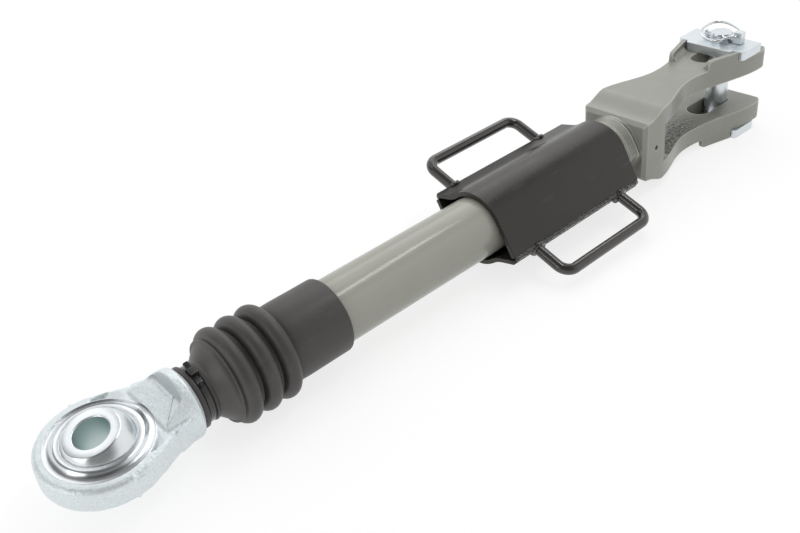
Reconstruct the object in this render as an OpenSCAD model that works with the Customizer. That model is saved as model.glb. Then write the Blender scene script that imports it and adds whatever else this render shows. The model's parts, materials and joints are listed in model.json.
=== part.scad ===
// Adjustable tractor lift rod: swivel ball eye, boot, turning tube, locking sleeve and clevis fork.
// Origin at the centre of the swivel ball, +X along the rod to the fork, +Z along the clevis pin.

/* [Whole rod] */
// distance from the swivel ball's centre to the clevis pin, rod wound in
pin_distance = 794; // [760:1:900]
// turn of the ball eye about the rod, left by its thread
eye_turn = 6; // [-20:1:20]

/* [Swivel ball] */
// radius of the swivel ball
ball_r = 31; // [29:0.5:33]
// width of the ball between its flat faces
ball_w = 45; // [42:0.5:48]
// radius of the pin hole through the ball
ball_bore_r = 14; // [11:0.5:16]
// lean of the ball in its eye as photographed
ball_lean = 11; // [0:1:15]
// running gap between the ball and its race
ball_gap = 0.05; // [0.02:0.01:0.1]

/* [Ball eye] */
// outer radius of the eye
eye_r = 48.5; // [46:0.5:54]
// thickness of the eye's outer ring
eye_t = 23; // [20:0.5:26]
// rounding of the eye's outer rim
eye_rim_r = 5; // [2:0.5:8]
// radius where the polished dish meets the forged skin
dish_r = 39.7; // [38:0.1:42]
// outer radius of the lip pressed round the ball
lip_r = 30.8; // [30:0.1:33]
// height of the lip above the eye's middle plane
lip_h = 14.5; // [13:0.5:17]
// depth of the turned groove at the foot of the dish
dish_groove = 1.2; // [0.5:0.1:2]
// radius of the round boss on the eye's neck
boss_r = 30.5; // [27:0.5:32]
// where the boss starts, from the ball's centre
boss_start = 39; // [34:1:44]
// length of the boss
boss_len = 31; // [27:1:37]
// rounding of the boss's far edge
boss_round = 3; // [1:0.5:6]
// half width of the neck where it runs into the boss
neck_half_w = 33.5; // [31:0.5:36]
// distance from the boss's start to the end of the hollow forged into it
pocket_len = 21; // [17:1:24]
// half width of the hollow's end wall
pocket_half_w = 14; // [6:1:16]
// sideways set of the hollow's end wall
pocket_set = 6; // [-10:1:10]
// upward slope of the hollow's floor towards its end wall
pocket_slope = 18; // [10:1:24]

/* [Eye shank] */
// radius of the turned seat for the boot's collar
seat_r = 20; // [19:0.5:22]
// length of the bright shoulder behind the boss
shoulder_len = 1.6; // [1:0.2:3]
// radius of the bright shoulder
shoulder_r = 26; // [24:0.5:28]
// outer radius of both threaded spindles
spindle_r = 18; // [16:0.5:19]
// where the eye's threaded shank ends, from the ball's centre
eye_shank_end = 300; // [285:1:310]
// running gap between a spindle and its nut
thread_gap = 0.05; // [0.02:0.01:0.1]

/* [Rubber boot] */
// length of the lip against the eye
boot_lip_len = 4.4; // [3:0.2:6]
// height of the lip over the cable tie's groove
boot_lip_rise = 3.7; // [2:0.1:5]
// thickness of the rubber under the cable tie
collar_wall = 2.8; // [2:0.1:4]
// length of the groove
boot_groove_len = 7; // [6:0.5:9]
// height of the bead behind the groove
boot_bead_rise = 2.4; // [1:0.1:4]
// thickness of the rubber
boot_wall = 3; // [2:0.5:4]
// length of the cone from the bead to the first fold
boot_cone_len = 19; // [15:1:22]
// height of the cone's wide end over the valleys
boot_cone_rise = 2; // [0:0.5:4]
// distance from the cone's wide end to the first crest
first_crest = 7; // [6:0.5:9]
// distance from one crest to the next
fold_pitch = 19; // [18:0.5:20]
// number of large folds
fold_count = 3; // [2:1:3]
// height of the folds over the valleys
fold_rise = 7.3; // [6:0.1:10]
// radius of the round fold itself
fold_round_r = 7.5; // [6:0.5:8.5]
// radius of the valley between two folds
fold_valley_r = 35; // [34:0.5:37]
// length of the smooth cuff
cuff_len = 55; // [50:1:75]
// thickness of the smooth cuff
cuff_wall = 4.55; // [3:0.05:6]
// gap between the boot and the seat and tube inside it
boot_fit = 0.05; // [0.02:0.01:0.1]

/* [Cable tie] */
// width of the tie's band
tie_w = 4.8; // [3.6:0.2:6]
// thickness of the band
tie_t = 1.4; // [1:0.1:2]
// length of the tie's locking head along the band
tie_head_len = 8; // [6:0.5:10]
// height of the locking head
tie_head_h = 6; // [4:0.5:8]
// angle of the head round the boot, from +Y towards +Z
tie_head_angle = 102; // [30:1:150]

/* [Barrel tube] */
// outer radius of the tube
tube_r = 30; // [29:0.5:31]
// inner radius of the tube
tube_bore_r = 22.5; // [21:0.5:25]
// distance from the cuff's start to the tube's end inside it
tube_inset = 6; // [4:1:12]
// length of the threaded bush in the near end
bush_len = 50; // [40:1:60]
// length of the shaped nut on the far end
nut_len = 60; // [45:1:80]
// gap left between the nut and the fork's boss when wound in
nut_gap = 2; // [1:0.5:5]

/* [Locking section] */
// height of the nut and of the fork's boss over the tube
lock_rise = 1.1; // [0.6:0.1:3]
// height of their two pointed corners over their round
lock_corner = 4.3; // [3:0.1:4.6]
// gap between the locking section and the sleeve
lock_gap = 1.4; // [0.6:0.1:1.6]

/* [Locking sleeve] */
// gap left at the top where the sleeve hangs on the locking section
hang_gap = 0.3; // [0.2:0.05:0.5]
// length of the sleeve
sleeve_len = 186; // [170:1:200]
// distance from the sleeve's far end to the fork's boss
sleeve_back = 7; // [5:1:20]
// thickness of the pressed plate
sleeve_wall = 4.7; // [4:0.1:6]
// length of the flat side from where it leaves the round
flat_len = 36; // [30:0.5:38]
// angle where the round turns into the flange, from +Y
flange_leave = 52; // [48:1:56]
// radius of the bend into the flange
flange_bend_r = 30; // [24:1:36]
// turn of the bend into the flange
flange_bend = 25; // [20:1:28]
// length of the flange beyond its bend
flange_len = 15.5; // [13:0.5:17]
// radius of the weld bead along each seam
seam_bead_r = 3.2; // [2.6:0.1:4]

/* [Handles] */
// radius of the handle rod
rod_r = 5.4; // [4:0.1:6]
// distance between the two legs of a handle
leg_spacing = 124; // [110:1:140]
// distance of the grip bar from the rod's axis
grip_reach = 90; // [80:1:105]
// bend radius of the rod at its corners
rod_bend_r = 12; // [9:0.5:20]
// slope of the handles below and above the level
handle_slope = 20; // [15:1:23]
// set of the left handle towards the eye
left_handle_set = 9; // [0:1:20]
// height of the weld blobs over the rod
leg_weld = 3; // [2:0.1:4.5]
// length of the weld blobs along the rod
leg_weld_len = 7; // [5:0.5:10]

/* [Fork] */
// distance from the fork's front face to the clevis pin
block_to_pin = 195; // [185:1:210]
// length of the shaped boss in front of the fork
fork_boss_len = 18; // [14:1:24]
// width of the fork's front block
block_w = 81; // [76:1:86]
// height of the fork's front block
block_h = 66; // [62:1:70]
// height over both ears
ears_h = 84; // [80:1:88]
// half width of the waist behind the block
waist_half_w = 22.5; // [20:0.5:26]
// where the block starts to narrow, from its front face
narrow_start = 24; // [18:1:28]
// where the waist is reached, from the front face
narrow_end = 103; // [96:1:110]
// half width of the ears at their ends
ear_half_w = 42; // [40:0.5:44]
// distance from the clevis pin to the ears' ends
ear_end = 34; // [28:1:40]
// clear height between the ears
gap_h = 41; // [36:1:46]
// distance from the front face to the throat
throat_start = 38; // [34:1:46]
// rounding of the throat's corners
throat_corner_r = 13; // [8:0.5:18]
// chamfer at the mouth of the gap
mouth_edge = 3; // [1:0.5:5]
// length over which the block rises to the ears' height
rise_len = 32; // [24:1:44]
// chamfer of the ears' ends above and below
ear_edge = 4; // [2:0.5:6]
// edge chamfer of the front block
block_edge = 4; // [2:0.5:7]
// rounding of the ears' outer corners in plan
ear_corner_r = 15; // [8:0.5:18]

/* [Fork ribs and slots] */
// side play of the pin in the slots
slot_side = 0.3; // [0.1:0.05:1]
// play of the pin at the slot's outer end
slot_play = 0.4; // [0.2:0.1:1]
// travel that the slot leaves behind the pin
slot_travel = 35; // [25:1:40]
// height of the side ribs
rib_h = 10; // [6:0.5:12]
// thickness of the side ribs
rib_t = 5.5; // [5:0.5:7]
// rounding of the ribs' starts
rib_round = 5; // [2:0.5:8]
// width and height of the sloping foot inside each rib
rib_foot = 5; // [2:0.5:7]
// where the ribs start, from the clevis pin back
rib_start = 63; // [60:1:75]
// where the ribs end, from the clevis pin back
rib_end = 22; // [20:0.5:26]
// radius of the lock pin through block and spindle
lock_pin_r = 2.5; // [2:0.1:4]
// distance of the lock pin from the front face
lock_pin_x = 20; // [14:1:24]
// depth of the lock pin below the block's side
lock_pin_depth = 2.5; // [1:0.5:5]
// depth of the spindle's hole in the block
spindle_depth = 26; // [22:1:34]
// where the fork's spindle ends, from the front face back
spindle_reach = 165; // [150:1:180]

/* [Clevis pin] */
// radius of the clevis pin
pin_r = 12.5; // [11:0.1:14]
// height of the pin's end above the upper plate
pin_proud = 9; // [8:0.5:12]
// chamfer of the pin's end
pin_edge = 1.5; // [0.5:0.5:3]
// thickness of the key plates
plate_t = 10; // [8:0.5:12]
// half width of a plate's wide part
plate_half_w = 41.5; // [40:0.5:43]
// distance from the pin to a plate's outer edge
plate_out = 14.5; // [14.5:0.5:20]
// gap between a plate and the rib ends
plate_gap = 0.6; // [0.3:0.1:1.5]
// gap between the sides of a plate's nose and the ribs
nose_gap = 0.9; // [0.4:0.1:2]
// length of the nose in front of the wide part
nose_len = 5; // [3:0.5:12]
// rounding of the wide part's corners beside the ribs
plate_corner = 4; // [1:0.5:6]
// play of the pin in the upper plate
plate_play = 0.2; // [0.1:0.05:0.5]

/* [Linch pin] */
// radius of the linch pin's shank
linch_r = 3.5; // [3:0.1:3.8]
// gap between the shank and the plate below it
linch_lift = 0.6; // [0.3:0.1:1]
// length of the shank beyond the clevis pin's axis
linch_tip = 21; // [18:0.5:26]
// distance of the head from the clevis pin's axis
linch_head_y = 22; // [20:0.5:26]
// width of the linch pin's head
linch_head_w = 9; // [7:0.5:11]
// metal of the linch pin's head over the ring's hole
linch_crown = 2.4; // [1.5:0.1:4]
// radius of the ring's wire
wire_r = 1.4; // [1:0.1:1.7]
// width of the ring across its wire's centre
ring_w = 52; // [46:1:56]
// length of the ring across its wire's centre
ring_d = 43; // [40:1:46]
// radius of the ring's round corners
ring_corner_r = 19; // [15:0.5:20]
// upward slope of the ring as it lies
ring_slope = 2; // [0:0.5:5]
// play of the ring's ends in the head
ring_play = 0.2; // [0.1:0.05:0.4]

/* [Hidden] */
$fn = 96;
eps = 0.01;
face_x = pin_distance - block_to_pin;
boss_end = boss_start + boss_len;
pocket_end = boss_start + pocket_len;
boss_x = face_x - fork_boss_len;
lock_r = tube_r + lock_rise;
lock_corner_r = lock_r + lock_corner;
slot_r = pin_r + slot_side;
nut_end = boss_x - nut_gap;
nut_start = nut_end - nut_len;
sleeve_end = boss_x - sleeve_back;
sleeve_start = sleeve_end - sleeve_len;
sleeve_mid = (sleeve_start + sleeve_end) / 2;
sleeve_in_r = lock_r + lock_gap;
sleeve_out_r = sleeve_in_r + sleeve_wall;
sleeve_mid_r = sleeve_in_r + sleeve_wall / 2;
sleeve_drop = lock_gap - hang_gap;
bend_reach = sleeve_mid_r + flange_bend_r;
seam_y = sleeve_mid_r * cos(30) + flat_len * sin(30) + 0.9;
seam_z = flat_len * cos(30) - sleeve_mid_r * sin(30) + 1.35;
seam_reach = norm([seam_y, seam_z]);
leg_start = seam_reach - 1.8;
ear_z = ears_h / 2;
ears_end = pin_distance + ear_end;
throat_r = gap_h / 2;
throat_x = face_x + throat_start;
waist_x = face_x + narrow_end;
rise_x = face_x + block_edge;
flare_x = waist_x + 1;
flare_end = ears_end - ear_corner_r - 1;
rib_x0 = pin_distance - rib_start;
rib_x1 = pin_distance - rib_end;
plate_x0 = rib_x1 + plate_gap;
rib_y0 = half_w(rib_x0) - rib_t;
rib_y1 = half_w(rib_x1) - rib_t;
rib_top = ear_z + rib_h;
plate_x1 = pin_distance + plate_out;
nose_x = plate_x0 - nose_len;
nose_half_w = half_w(nose_x) - rib_t - nose_gap;
pin_top = ear_z + plate_t + pin_proud;
linch_z = ear_z + plate_t + linch_lift + linch_r;
linch_hole_r = linch_r + 0.3;
hinge_z = linch_z + linch_r + wire_r + 0.1;
shoulder_end = boss_end + shoulder_len;
groove_start = shoulder_end + boot_lip_len;
groove_end = groove_start + boot_groove_len;
tie_mid = (groove_start + groove_end) / 2;
boot_groove_r = seat_r + collar_wall;
boot_lip_r = boot_groove_r + boot_lip_rise;
boot_bead_r = boot_groove_r + boot_bead_rise;
boot_cone_end = groove_end + boot_cone_len;
fold_start = boot_cone_end + first_crest;
fold_mid_r = fold_valley_r + fold_rise - fold_round_r;
cuff_start = fold_start + (fold_count - 0.5) * fold_pitch;
cuff_end = cuff_start + cuff_len;
cuff_bore_r = tube_r + boot_fit;
cuff_r = cuff_bore_r + cuff_wall;
tube_start = cuff_start + tube_inset;
steps = 14;

// half width of the fork in plan at x
function half_w(x) =
    x < face_x + narrow_start ? block_w / 2 :
    x < waist_x ? waist_half_w + (block_w / 2 - waist_half_w) *
        (0.5 + 0.5 * cos(180 * (x - face_x - narrow_start) / (narrow_end - narrow_start))) :
    x < flare_x ? waist_half_w :
    x < flare_end ? waist_half_w + (ear_half_w - waist_half_w) *
        (0.5 - 0.5 * cos(180 * (x - flare_x) / (flare_end - flare_x))) :
    ear_half_w;

// half height of the fork seen from the side at x
function half_h(x) =
    x < rise_x ? block_h / 2 :
    x < rise_x + rise_len ? block_h / 2 + (ear_z - block_h / 2) *
        (0.5 - 0.5 * cos(180 * (x - rise_x) / rise_len)) :
    ear_z;

// unit vector at an angle
function ray(a) = [cos(a), sin(a)];

// lays a section drawn in Y and Z along the rod
module along_x(x0, len) {
    translate([x0, 0, 0])
        rotate([90, 0, 90])
            linear_extrude(height = len)
                children();
}

// turns a profile drawn as (x, radius) about the rod's axis
module about_x() {
    rotate([0, 90, 0])
        rotate_extrude()
            mirror([1, -1, 0])
                children();
}

// points along an arc
function arc(centre, r, a0, a1, n) =
    [for (k = [0 : n]) centre + r * ray(a0 + (a1 - a0) * k / n)];

// round section with a pointed corner on each side, for the nut and the fork's boss
module lock_section() {
    circle(r = lock_r);
    intersection() {
        rotate(30)
            square([2 * lock_r, 4 * lock_r], center = true);
        rotate(-30)
            square([2 * lock_r, 4 * lock_r], center = true);
        square([2 * lock_corner_r, lock_r], center = true);
    }
}

// one face of a pressed plate, at depth t below its outside: flat side, round, bend and flange
function shell_face(t) = let (
        r = sleeve_out_r - t,
        q = flange_bend_r - sleeve_wall / 2 + t,
        bend_mid = bend_reach * ray(flange_leave),
        bend_end = flange_leave + 180 + flange_bend)
    concat([r * ray(150) + flat_len * ray(240)],
           arc([0, 0], r, 150, flange_leave, 32),
           arc(bend_mid, q, flange_leave + 180, bend_end, 8),
           [bend_mid + q * ray(bend_end) + flange_len * ray(bend_end + 90)]);

// section of one pressed plate of the sleeve
module shell_section() {
    outside = shell_face(0);
    inside = shell_face(sleeve_wall);
    last = len(inside) - 1;
    polygon(concat(outside, [for (k = [last : -1 : 0]) inside[k]]));
}

module upper_shell_solid() {
    translate([0, 0, -sleeve_drop])
        along_x(sleeve_start, sleeve_len)
            shell_section();
}

module lower_shell_solid() {
    translate([0, 0, -sleeve_drop])
        along_x(sleeve_start, sleeve_len)
            rotate(180)
                shell_section();
}

module sleeve_upper_shell() {
    color([0.13, 0.13, 0.12])
        upper_shell_solid();
}

module sleeve_lower_shell() {
    color([0.13, 0.13, 0.12])
        lower_shell_solid();
}

// weld bead along one seam; side is 1 on the left and -1 on the right
module seam_bead(side) {
    difference() {
        translate([sleeve_start + 2, side * seam_y, side * seam_z - sleeve_drop])
            rotate([0, 90, 0])
                cylinder(r = seam_bead_r, h = sleeve_len - 4);
        upper_shell_solid();
        lower_shell_solid();
    }
}

module right_seam_weld() {
    color([0.16, 0.16, 0.15])
        seam_bead(-1);
}

module left_seam_weld() {
    color([0.16, 0.16, 0.15])
        seam_bead(1);
}

// bent rod of a handle, lying in the plane Z = 0 and reaching to -Y
module bent_rod() {
    half = leg_spacing / 2;
    turn_y = -(grip_reach - rod_bend_r);
    for (s = [-1, 1]) {
        translate([s * half, -leg_start, 0])
            rotate([90, 0, 0])
                cylinder(r = rod_r, h = grip_reach - rod_bend_r - leg_start);
        translate([s * (half - rod_bend_r), turn_y, 0])
            rotate([0, 0, s > 0 ? -90 : 180])
                rotate_extrude(angle = 90)
                    translate([rod_bend_r, 0])
                        circle(r = rod_r);
    }
    translate([-(half - rod_bend_r), -grip_reach, 0])
        rotate([0, 90, 0])
            cylinder(r = rod_r, h = leg_spacing - 2 * rod_bend_r);
}

// weld blobs round the two legs of a handle
module leg_blobs() {
    top = rod_r + leg_weld;
    for (s = [-1, 1]) {
        translate([s * leg_spacing / 2, -leg_start, 0])
            rotate([90, 0, 0])
                rotate_extrude()
                    polygon([[rod_r, -0.5], [top, -0.5], [top, leg_weld_len * 0.3],
                             [top - 0.3 * leg_weld, leg_weld_len * 0.7],
                             [top - 0.7 * leg_weld, leg_weld_len * 0.95], [rod_r, leg_weld_len]]);
    }
}

// puts a handle or its welds on the right seam
module on_right_seam() {
    difference() {
        translate([sleeve_mid + 1, 0, -sleeve_drop])
            rotate([handle_slope, 0, 0])
                children();
        upper_shell_solid();
        lower_shell_solid();
        seam_bead(-1);
    }
}

// puts a handle or its welds on the left seam, set back towards the eye
module on_left_seam() {
    translate([-left_handle_set, 0, -2 * sleeve_drop])
        rotate([180, 0, 0])
            on_right_seam()
                children();
}

module right_handle() {
    color([0.13, 0.13, 0.12])
        on_right_seam()
            bent_rod();
}

module left_handle() {
    color([0.13, 0.13, 0.12])
        on_left_seam()
            bent_rod();
}

module right_handle_welds() {
    color([0.16, 0.16, 0.15])
        on_right_seam()
            leg_blobs();
}

module left_handle_welds() {
    color([0.16, 0.16, 0.15])
        on_left_seam()
            leg_blobs();
}

// points of the flank between two places, as (x, half width)
function flank(x0, x1, n) = [for (k = [0 : n]) let (x = x0 + (x1 - x0) * k / n) [x, half_w(x)]];

// a half outline closed by its mirror image
function both_sides(half) = let (last = len(half) - 1)
    concat(half, [for (k = [last : -1 : 0]) [half[k][0], -half[k][1]]]);

// plan outline of the fork from its front face to the ends of its ears
module fork_plan() {
    corner = [ears_end - ear_corner_r, ear_half_w - ear_corner_r];
    polygon(both_sides(concat(
        [[face_x, block_w / 2 - block_edge], [face_x + block_edge, block_w / 2]],
        flank(face_x + narrow_start, waist_x, steps),
        flank(flare_x, flare_end, steps),
        arc(corner, ear_corner_r, 90, 0, 10))));
}

// side outline of the fork with its ribs in full width
module fork_side() {
    rise = [for (k = [0 : steps]) let (x = rise_x + rise_len * k / steps) [x, half_h(x)]];
    rib_corner = [rib_x0 + rib_round, rib_top - rib_round];
    polygon(both_sides(concat(
        [[face_x, block_h / 2 - block_edge]], rise, [[rib_x0, ear_z]],
        arc(rib_corner, rib_round, 180, 90, 6),
        [[rib_x1, rib_top], [rib_x1, ear_z], [ears_end - ear_edge, ear_z],
         [ears_end, ear_z - ear_edge]])));
}

// side outline of the gap between the ears, from the throat to beyond the mouth
module fork_gap() {
    corner = [throat_x + throat_corner_r, gap_h / 2 - throat_corner_r];
    polygon(both_sides(concat(
        arc(corner, throat_corner_r, 180, 90, 10),
        [[ears_end - mouth_edge, gap_h / 2], [ears_end + 1, gap_h / 2 + mouth_edge + 1]])));
}

// room between the two ribs of one ear, seen from above
module between_ribs() {
    rise = (rib_y1 - rib_y0) / (rib_x1 - rib_x0);
    polygon(both_sides([[rib_x0 - 2, rib_y0 - 2 * rise], [rib_x1 + 2, rib_y1 + 2 * rise]]));
}

// sloping foot along the inner side of a rib
module rib_foot_wedge() {
    len = nose_x - rib_x0 - 3;
    translate([rib_x0, rib_y0, ear_z])
        rotate([0, 0, atan((rib_y1 - rib_y0) / (rib_x1 - rib_x0))])
            translate([1.5, 0, 0])
                rotate([90, 0, 90])
                    linear_extrude(height = len)
                        polygon([[-rib_foot, -1], [-rib_foot, 0], [0, rib_foot], [1, rib_foot], [1, -1]]);
}

// forged fork with boss, throat, slotted ears and ribs
module fork_forging() {
    color([0.56, 0.57, 0.53])
        difference() {
            union() {
                difference() {
                    intersection() {
                        translate([0, 0, -rib_top - 1])
                            linear_extrude(height = 2 * rib_top + 2)
                                fork_plan();
                        translate([0, block_w, 0])
                            rotate([90, 0, 0])
                                linear_extrude(height = 2 * block_w)
                                    fork_side();
                    }
                    for (n = [0, 1]) {
                        mirror([0, 0, n])
                            translate([0, 0, ear_z])
                                linear_extrude(height = rib_h + 1)
                                    between_ribs();
                    }
                }
                for (m = [0, 1]) {
                    for (n = [0, 1]) {
                        mirror([0, m, 0])
                            mirror([0, 0, n])
                                rib_foot_wedge();
                    }
                }
                along_x(boss_x, fork_boss_len + 1)
                    lock_section();
            }
            translate([0, block_w, 0])
                rotate([90, 0, 0])
                    linear_extrude(height = 2 * block_w)
                        fork_gap();
            translate([0, 0, -ears_h])
                linear_extrude(height = 2 * ears_h)
                    slot_plan();
            along_x(boss_x - 1, fork_boss_len + spindle_depth + 1)
                circle(r = spindle_r);
            translate([face_x + lock_pin_x, block_w, 0])
                rotate([90, 0, 0])
                    cylinder(r = lock_pin_r, h = 2 * block_w);
        }
}

// slot in both ears, open behind the pin
module slot_plan() {
    x1 = pin_distance + slot_play;
    x0 = x1 - slot_travel;
    translate([x0, 0])
        circle(r = slot_r);
    translate([x1, 0])
        circle(r = slot_r);
    translate([x0, -slot_r])
        square([x1 - x0, 2 * slot_r]);
}

// left-hand threaded spindle pinned into the fork
module fork_spindle() {
    color([0.62, 0.63, 0.62])
        difference() {
            along_x(face_x - spindle_reach, spindle_reach + spindle_depth)
                circle(r = spindle_r);
            translate([face_x + lock_pin_x, block_w, 0])
                rotate([90, 0, 0])
                    cylinder(r = lock_pin_r, h = 2 * block_w);
        }
}

// cross pin that keeps the spindle from turning in the fork
module spindle_lock_pin() {
    reach = block_w / 2 - lock_pin_depth;
    color([0.35, 0.36, 0.34])
        translate([face_x + lock_pin_x, reach, 0])
            rotate([90, 0, 0])
                cylinder(r = lock_pin_r, h = 2 * reach);
}

// clevis pin with its chamfered upper end and cross hole
module clevis_pin() {
    color([0.78, 0.82, 0.85])
        translate([pin_distance, 0, 0])
            difference() {
                union() {
                    translate([0, 0, -ear_z - plate_t])
                        cylinder(r = pin_r, h = ear_z + plate_t + pin_top - pin_edge);
                    translate([0, 0, pin_top - pin_edge])
                        cylinder(r1 = pin_r, r2 = pin_r - pin_edge, h = pin_edge);
                }
                translate([0, pin_r + 1, linch_z])
                    rotate([90, 0, 0])
                        cylinder(r = linch_hole_r, h = 2 * pin_r + 2);
            }
}

// outline of a key plate: wide part in the notches and nose between the ribs
module plate_plan(hole_r) {
    difference() {
        polygon(both_sides(concat(
            [[nose_x, nose_half_w - 2], [nose_x + 2, nose_half_w], [plate_x0, nose_half_w]],
            arc([plate_x0 + plate_corner, plate_half_w - plate_corner], plate_corner, 180, 90, 6),
            [[plate_x1 - 1, plate_half_w], [plate_x1, plate_half_w - 1]])));
        translate([pin_distance, 0])
            circle(r = hole_r);
    }
}

module upper_key_plate() {
    color([0.78, 0.82, 0.85])
        translate([0, 0, ear_z])
            linear_extrude(height = plate_t)
                plate_plan(pin_r + plate_play);
}

module lower_key_plate() {
    color([0.78, 0.82, 0.85])
        translate([0, 0, -ear_z - plate_t])
            linear_extrude(height = plate_t)
                plate_plan(pin_r);
}

// linch pin: shank through the clevis pin and a head that carries the ring
module linch_pin() {
    head_x = pin_distance - linch_head_w / 2;
    head_top = hinge_z + wire_r + ring_play + linch_crown;
    color([0.80, 0.83, 0.86])
        difference() {
            union() {
                translate([pin_distance, linch_tip - 2, linch_z])
                    rotate([90, 0, 0])
                        cylinder(r = linch_r, h = linch_tip - 2 + linch_head_y);
                translate([pin_distance, linch_tip, linch_z])
                    rotate([90, 0, 0])
                        cylinder(r1 = linch_r - 2, r2 = linch_r, h = 2);
                translate([head_x, -linch_head_y - linch_head_w / 2, ear_z + plate_t + linch_lift])
                    cube([linch_head_w, linch_head_w, head_top - ear_z - plate_t - linch_lift]);
            }
            translate([head_x - 1, -linch_head_y, hinge_z])
                rotate([0, 90, 0])
                    cylinder(r = wire_r + ring_play, h = linch_head_w + 2);
        }
}

// a quarter bend of the ring about its corner
module ring_bend(x, y, turn) {
    translate([x, y, 0])
        rotate([0, 0, turn])
            rotate_extrude(angle = 90)
                translate([ring_corner_r, 0])
                    circle(r = wire_r, $fn = 32);
}

// a straight stretch of the ring from one point to another
module ring_bar(from, to) {
    run = to - from;
    translate([from[0], from[1], 0])
        rotate([0, 0, atan2(run[1], run[0])])
            rotate([0, 90, 0])
                cylinder(r = wire_r, h = norm(run), $fn = 32);
}

// spring ring whose straight side turns in the linch pin's head
module linch_ring() {
    side = ring_w / 2;
    bend_x = side - ring_corner_r;
    bend_y = ring_d - ring_corner_r;
    color([0.80, 0.83, 0.86])
        translate([pin_distance, -linch_head_y, hinge_z])
            rotate([ring_slope, 0, 0]) {
                ring_bar([-bend_x, 0], [bend_x, 0]);
                ring_bar([side, ring_corner_r], [side, bend_y]);
                ring_bar([bend_x, ring_d], [-bend_x, ring_d]);
                ring_bar([-side, bend_y], [-side, ring_corner_r]);
                ring_bend(bend_x, ring_corner_r, -90);
                ring_bend(bend_x, bend_y, 0);
                ring_bend(-bend_x, bend_y, 90);
                ring_bend(-bend_x, ring_corner_r, 180);
            }
}

// turning tube
module barrel_tube() {
    color([0.56, 0.57, 0.53])
        along_x(tube_start, nut_start - tube_start)
            difference() {
                circle(r = tube_r);
                circle(r = tube_bore_r);
            }
}

// nut with the locking section on the tube's far end
module tube_shaped_nut() {
    color([0.56, 0.57, 0.53])
        along_x(nut_start, nut_len)
            difference() {
                lock_section();
                circle(r = spindle_r + thread_gap);
            }
}

// right-hand threaded bush in the tube's near end
module tube_thread_bush() {
    color([0.60, 0.61, 0.60])
        along_x(tube_start, bush_len)
            difference() {
                circle(r = tube_bore_r);
                circle(r = spindle_r + thread_gap);
            }
}

// points round one fold as (x, radius), from angle a0 down to angle a1
function fold_arc(k, r, a0, a1) = arc([fold_start + k * fold_pitch, fold_mid_r], r, a0, a1, 9);

// outside of all the folds and the valleys between them
function folds_outside() = [for (k = [0 : fold_count - 1])
    each concat(fold_arc(k, fold_round_r, k == 0 ? 150 : 180, 0),
                [[fold_start + (k + 0.5) * fold_pitch, fold_valley_r]])];

// inside of all the folds, from the cuff back to the cone
function folds_inside() = [for (k = [fold_count - 1 : -1 : 0])
    each concat([[fold_start + k * fold_pitch + fold_round_r - boot_wall, fold_valley_r - boot_wall]],
                fold_arc(k, fold_round_r - boot_wall, 0, 180),
                [[fold_start + k * fold_pitch - fold_round_r + boot_wall, fold_valley_r - boot_wall]])];

// rubber boot: lip, groove, bead, cone, folds and cuff, drawn as (x, radius)
module rubber_boot() {
    seat = seat_r + boot_fit;
    collar = [[shoulder_end, seat], [shoulder_end, boot_lip_r - 1], [shoulder_end + 1, boot_lip_r],
              [groove_start, boot_lip_r], [groove_start, boot_groove_r], [groove_end, boot_groove_r],
              [groove_end, boot_bead_r], [groove_end + 3, boot_bead_r],
              [groove_end + 5, boot_bead_r - 1],
              [boot_cone_end, fold_valley_r + boot_cone_rise]];
    cuff = [[cuff_start + 1, cuff_r], [cuff_end - 1, cuff_r], [cuff_end, cuff_r - 1],
            [cuff_end, cuff_bore_r], [cuff_start + 3, cuff_bore_r],
            [cuff_start, fold_valley_r - boot_wall]];
    cone = [[groove_end + 7, seat + 2], [groove_end + 4, seat]];
    color([0.17, 0.16, 0.16])
        about_x()
            polygon(concat(collar, folds_outside(), cuff, folds_inside(), cone));
}

// cable tie in the boot's groove
module boot_cable_tie() {
    color([0.05, 0.05, 0.05])
        difference() {
            union() {
                along_x(tie_mid - tie_w / 2, tie_w)
                    circle(r = boot_groove_r + tie_t);
                rotate([tie_head_angle, 0, 0])
                    translate([tie_mid - tie_w / 2 - 1, boot_groove_r, -tie_head_len / 2])
                        cube([tie_w + 2, tie_head_h, tie_head_len]);
            }
            along_x(tie_mid - tie_w, 2 * tie_w)
                circle(r = boot_groove_r);
            rotate([tie_head_angle, 0, 0])
                translate([tie_mid - tie_w / 2, boot_groove_r + tie_t + 0.8, -tie_head_len])
                    cube([tie_w, 1.2, 2 * tie_head_len]);
        }
}

// half section of the eye's ring, dish and lip as (radius, height)
module eye_ring_section() {
    half = eye_t / 2;
    square([eye_r - eye_rim_r, half]);
    square([eye_r, half - eye_rim_r]);
    translate([eye_r - eye_rim_r, half - eye_rim_r])
        circle(r = eye_rim_r);
}

// raised hub round the ball
module eye_hub_section() {
    difference() {
        polygon([[0, 0], [dish_r, 0], [dish_r, eye_t / 2], [lip_r + 0.8, lip_h], [0, lip_h]]);
        translate([dish_r, lip_h + 4.5])
            circle(r = lip_h + 4.5 - eye_t / 2 + dish_groove);
    }
}

// plan of the neck from the ring to the boss
module neck_plan() {
    half = [[0, eye_r], [12, eye_r - 1.3], [27, eye_r - 6.8], [boss_start + 6, neck_half_w],
            [boss_start + 12, neck_half_w - 1], [boss_start + 20, boss_r - 0.5]];
    polygon(both_sides(half));
}

// hollow on one side of the boss
module pocket_plan() {
    polygon([[0, -40], [boss_start - 4, -34], [boss_start + 4, -24],
             [pocket_end, pocket_set - pocket_half_w], [pocket_end, pocket_set + pocket_half_w],
             [boss_start + 7, 34], [boss_start - 8, 40], [0, 40]]);
}

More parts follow.
